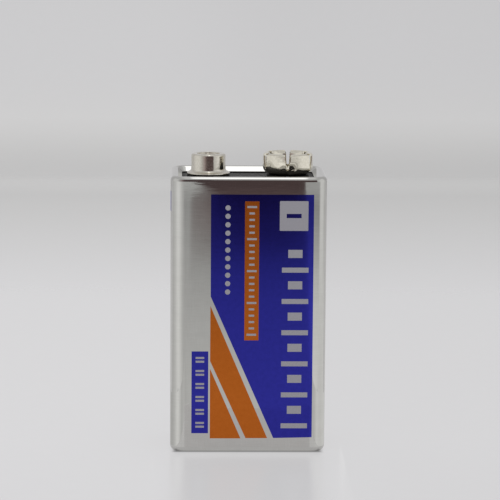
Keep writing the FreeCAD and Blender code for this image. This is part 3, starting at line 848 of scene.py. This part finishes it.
def build_stage():
    """One pale sheet, lit from within like a light table: flat floor, wide cove, wall behind; its glow carries painted
    shade before the cove and at the sides, and a painted contact shadow under the body.
    """
    r, y0 = 0.16, 0.34
    quarter_turn = r * math.pi / 2
    reach = [-2.0, -1.2, -0.6] + [-0.4 + 0.01 * i for i in range(75)] + [y0 + quarter_turn * i / 24 for i in range(25)] + [0.65, 0.8, 1.2, 1.8]
    reach = sorted(set(round(v, 6) for v in reach))

    def at(v):
        if v <= y0:
            return v, 0.0
        if v <= y0 + quarter_turn:
            a = (v - y0) / r
            return y0 + r * math.sin(a), r - r * math.cos(a)
        return y0 + r, r + v - y0 - quarter_turn

    xs = [-2.0, -1.0, -0.5, -0.25, -0.12, -0.06] + [-0.04 + 0.005 * i for i in range(17)] + [0.06, 0.12, 0.25, 0.5, 1.0, 2.0]
    n = len(xs)
    verts, glow = [], []
    for v in reach:
        y, z = at(v)
        for x in xs:
            verts.append((x, y, z))
            # painted shade: the glow is 4% lower to the right and 12% lower towards the far sides
            k = step(-25, 25, x * 1000)
            lum = along(SHEET_GLOW_PAINTED_SHADE, v * 1000) * (1 - 0.04 * k) * (1 - 0.12 * step(90, 220, abs(x * 1000)))
            warm = step(150, 300, v * 1000) * (1 - step(380, 440, v * 1000))
            glow.append((lum * 1.004, lum * 0.996, lum * (1.010 - 0.022 * warm)))
    faces = [(j * n + i, j * n + i + 1, (j + 1) * n + i + 1, (j + 1) * n + i) for j in range(len(reach) - 1) for i in range(n - 1)]
    mesh = bpy.data.meshes.new("studio_sheet")
    mesh.from_pydata(verts, [], faces)
    mesh.polygons.foreach_set("use_smooth", [True] * len(faces))
    attr = mesh.color_attributes.new("glow", "FLOAT_COLOR", "POINT")
    for item, c in zip(attr.data, glow):
        item.color = (*c, 1)
    o = bpy.data.objects.new("studio_sheet", mesh)
    scene.collection.objects.link(o)
    m = Mat("studio_sheet", Metallic=0.0, Roughness=0.24, Specular_IOR_Level=0.16)
    v = m.obj()
    x, y, z = m.xyz(v)
    # painted contact shadow: the sheet's glow drops to 35% under and just round the body's footprint
    dx = m.math("SUBTRACT", m.math("ABSOLUTE", x), 11.8)
    dy = m.math("SUBTRACT", m.math("ABSOLUTE", y), 7.4)
    under = m.span(m.math("MAXIMUM", dx, dy), -0.3, 0.8, 0.35, 1.0, True)
    speck = m.noise(m.scale(v, (0.35, 0.35, 0.35)), 1.0, 4, 0.6)
    attribute = m.t.nodes.new("ShaderNodeVertexColor")
    attribute.layer_name = "glow"
    m.put(Base_Color=m.mix(speck, (0.118, 0.118, 0.120), (0.124, 0.124, 0.126)), Emission_Color=attribute.outputs["Color"],
          Emission_Strength=m.math("MULTIPLY", under, m.span(speck, 0.2, 0.8, 0.996, 1.004)))
    mesh.materials.append(m.m)


build_stage()


# ---- light ----------------------------------------------------------------------------------------------------
def set_world(color):
    w = bpy.data.worlds.new("studio_air")
    w.use_nodes = True
    bg = next(n for n in w.node_tree.nodes if n.type == "BACKGROUND")
    bg.inputs["Color"].default_value = (*color, 1)
    bg.inputs["Strength"].default_value = 1.0
    scene.world = w


def softbox(name, at, size, radiance, tilt=(0, 0, 0), color=(1, 1, 1)):
    d = bpy.data.lights.new(name, "AREA")
    d.shape = "RECTANGLE"
    d.size, d.size_y = size
    d.energy = radiance * size[0] * size[1] * math.pi
    d.color = color
    o = bpy.data.objects.new(name, d)
    o.location = at
    o.rotation_euler = tilt
    scene.collection.objects.link(o)
    return o


set_world((0.55, 0.55, 0.555))
softbox("overhead_softbox", (0.04, 0.0, 0.52), (0.30, 0.46), 1.7).visible_glossy = False


def glow_card(name, verts, cols, faces):
    """A card that only reflections see, with its light in a vertex attribute."""
    mesh = bpy.data.meshes.new(name)
    mesh.from_pydata(verts, [], faces)
    attr = mesh.color_attributes.new("glow", "FLOAT_COLOR", "POINT")
    attr.data.foreach_set("color", [v for c in cols for v in (*c, 1.0)])
    o = bpy.data.objects.new(name, mesh)
    scene.collection.objects.link(o)
    mat = bpy.data.materials.new(name)
    mat.use_nodes = True
    t = mat.node_tree
    t.nodes.clear()
    a = t.nodes.new("ShaderNodeVertexColor")
    a.layer_name = "glow"
    e = t.nodes.new("ShaderNodeEmission")
    out = t.nodes.new("ShaderNodeOutputMaterial")
    t.links.new(a.outputs["Color"], e.inputs["Color"])
    t.links.new(e.outputs[0], out.inputs["Surface"])
    mat.cycles.emission_sampling = "NONE"
    mesh.materials.append(mat)
    o.visible_camera = o.visible_diffuse = o.visible_shadow = False
    o.visible_transmission = o.visible_volume_scatter = False
    o.visible_glossy = True
    return o


def overhead_card():
    """The overhead light as the metal sees it: a bright strip from front to back, paler wings at its sides."""
    xs = [-0.15 + 0.002 * i for i in range(171)]
    ys = [-0.205, -0.19, 0.205, 0.22]
    verts, cols = [], []
    for y in ys:
        for x in xs:
            core = 1 - step(0.016, 0.029, abs(x - 0.0135))
            wing = 1 - 0.25 * step(0.06, 0.14, abs(x - 0.02))
            verts.append((x, y, 0.52))
            cols.append((0.78 * wing + 0.95 * core,) * 3)
    n = len(xs)
    faces = [(j * n + i, j * n + i + 1, (j + 1) * n + i + 1, (j + 1) * n + i) for j in range(len(ys) - 1) for i in range(n - 1)]
    return glow_card("overhead_card", verts, cols, faces)


def front_card():
    """What stands in front of the object, for reflections only: pale table near it, darker further off, a dark wall behind the camera."""
    near, far, high = 20.0, 340.0, 350.0
    floor_d = [near + 5 * i for i in range(61)] + [321 + i for i in range(20)]
    wall_z = [0.1 * i for i in range(1, 21)] + [2.25 + 0.25 * i for i in range(13)] + [6, 7, 8, 10, 12, 16, 20, 28, 40, 60, 80, 110, 140, 170, 200, 230, 260, 300, 330, high]
    azs = [-112 + 0.25 * i for i in range(897)]
    centre = [(20, 0.66), (40, 0.63), (97, 0.57), (144, 0.50), (185, 0.40), (212, 0.29), (231, 0.20), (267, 0.145), (316, 0.083), (340, 0.062)]
    left_mid = [(20, 0.66), (60, 0.61), (144, 0.52), (223, 0.46), (300, 0.39), (330, 0.45), (340, 0.53)]
    left_az = [(20, 0.57), (33, 0.74), (47, 0.88), (62, 0.85), (78, 0.70), (100, 0.60), (112, 0.57)]
    right_d = [(20, 0.80), (60, 0.84), (144, 0.75), (223, 0.50), (300, 0.33), (340, 0.45)]
    right_az = [(50, 0.0), (65, 1.0), (90, 1.0), (102, 0.55), (112, 0.5)]
    # the dark part's left and right limit: (distance, then 340 + height), middle, half width
    edge_l = [(20, -8, 14), (307, -8, 14), (325, -4, 4), (334, -4.3, 2.2), (338, -4.8, 1.2), (340.4, -5.4, 0.7), (341, -6.8, 0.9), (342, -12, 2), (343.5, -70, 14), (345, -230, 24)]
    edge_r = [(20, 23, 9), (290, 23.5, 9), (312, 26.5, 5), (325, 27, 3.5), (336, 27, 2), (340, 27, 1.2), (341, 26.5, 1.2), (341.5, 28, 2.5), (343, 60, 12), (345, 188, 4)]
    high_l = [(0, 0.062), (9, 0.07), (15, 0.10), (23, 0.20), (30, 0.32), (37, 0.38), (58, 0.65), (66, 0.72), (93, 0.72), (112, 0.60)]
    high_r = [(0, 0.54), (33.5, 0.54), (68, 0.78), (93, 0.78), (112, 0.60)]
    dark = (1.36, 0.94, 0.95)

    def lin(knots, x, k=1):
        for a, b in zip(knots, knots[1:]):
            if x <= b[0]:
                return a[k] + (b[k] - a[k]) * max(0.0, (x - a[0]) / (b[0] - a[0]))
        return knots[-1][k]

    def level(az, d, z):
        x = min(d, far) * math.sin(math.radians(az))
        u = d if z <= 0 else far + z
        core = lin(centre, d)
        c, h = lin(edge_l, u), lin(edge_l, u, 2)
        wl = 1 - step(c - h, c + h, x)
        c, h = lin(edge_r, u), lin(edge_r, u, 2)
        wr = step(c - h, c + h, x)
        side_l = lin(left_mid, d) if az > -12 else (lin(left_az, -az) if az < -20 else lin(left_mid, d) + (0.57 - lin(left_mid, d)) * (-az - 12) / 8)
        side_r = lin(right_d, d)
        side_r += (0.77 - side_r) * lin(right_az, az)
        up = step(3.0, 5.0, z)
        side_l += (lin(high_l, -az) - side_l) * up if az < 0 else 0.0
        side_r += (lin(high_r, az) - side_r) * up if az > 0 else 0.0
        wl = max(wl, up) if az < 0 else wl
        warm = step(180, 330, d) if z <= 0 else 1.0
        tint = tuple(1 + (t - 1) * warm for t in dark)
        over = 0.5 * step(250, high, z)
        rest = (1 - wl) * (1 - wr)
        dim = max(0.0, 1 - side_l / 0.5) * wl * up
        return tuple(core * t * rest + side_l * (1 + (t - 1) * dim) * wl + side_r * wr + over * rest for t in tint)

    rows = [(d, 0.0) for d in floor_d] + [(far, z) for z in wall_z]
    verts, cols = [], []
    for d, z in rows:
        for az in azs:
            a = math.radians(az)
            verts.append((d * math.sin(a) * MM, (-8.25 - d * math.cos(a)) * MM, (z + 0.05) * MM))
            cols.append(level(az, d, z))
    n = len(azs)
    faces = [(j * n + i, j * n + i + 1, (j + 1) * n + i + 1, (j + 1) * n + i) for j in range(len(rows) - 1) for i in range(n - 1)]
    clear = [y < -42 * MM or abs(x) > 49 * MM for x, y, z in verts]
    faces = [f for f in faces if max(verts[k][2] for k in f) > 0.06 * MM or all(clear[k] for k in f)]
    # two low fins beside the body, in line with the view: they stand in for the card where its floor part is left out
    for side in (-1, 1):
        start = len(verts)
        turns = list(range(9, 151))
        for z in (0.1, 9.0):
            for az in turns:
                half = math.radians(az / 2)
                px, py = 10.35 + 2.3 * math.sin(half), -5.95 - 2.3 * math.cos(half)
                verts.append((side * 15.5 * MM, (py - (15.5 - px) / math.tan(math.radians(az))) * MM, z * MM))
                cols.append(level(side * az, 40, 0))
        n = len(turns)
        faces += [(start + i, start + i + 1, start + n + i + 1, start + n + i) for i in range(n - 1)]
    return glow_card("front_card", verts, cols, faces)


front_card()
overhead_card()
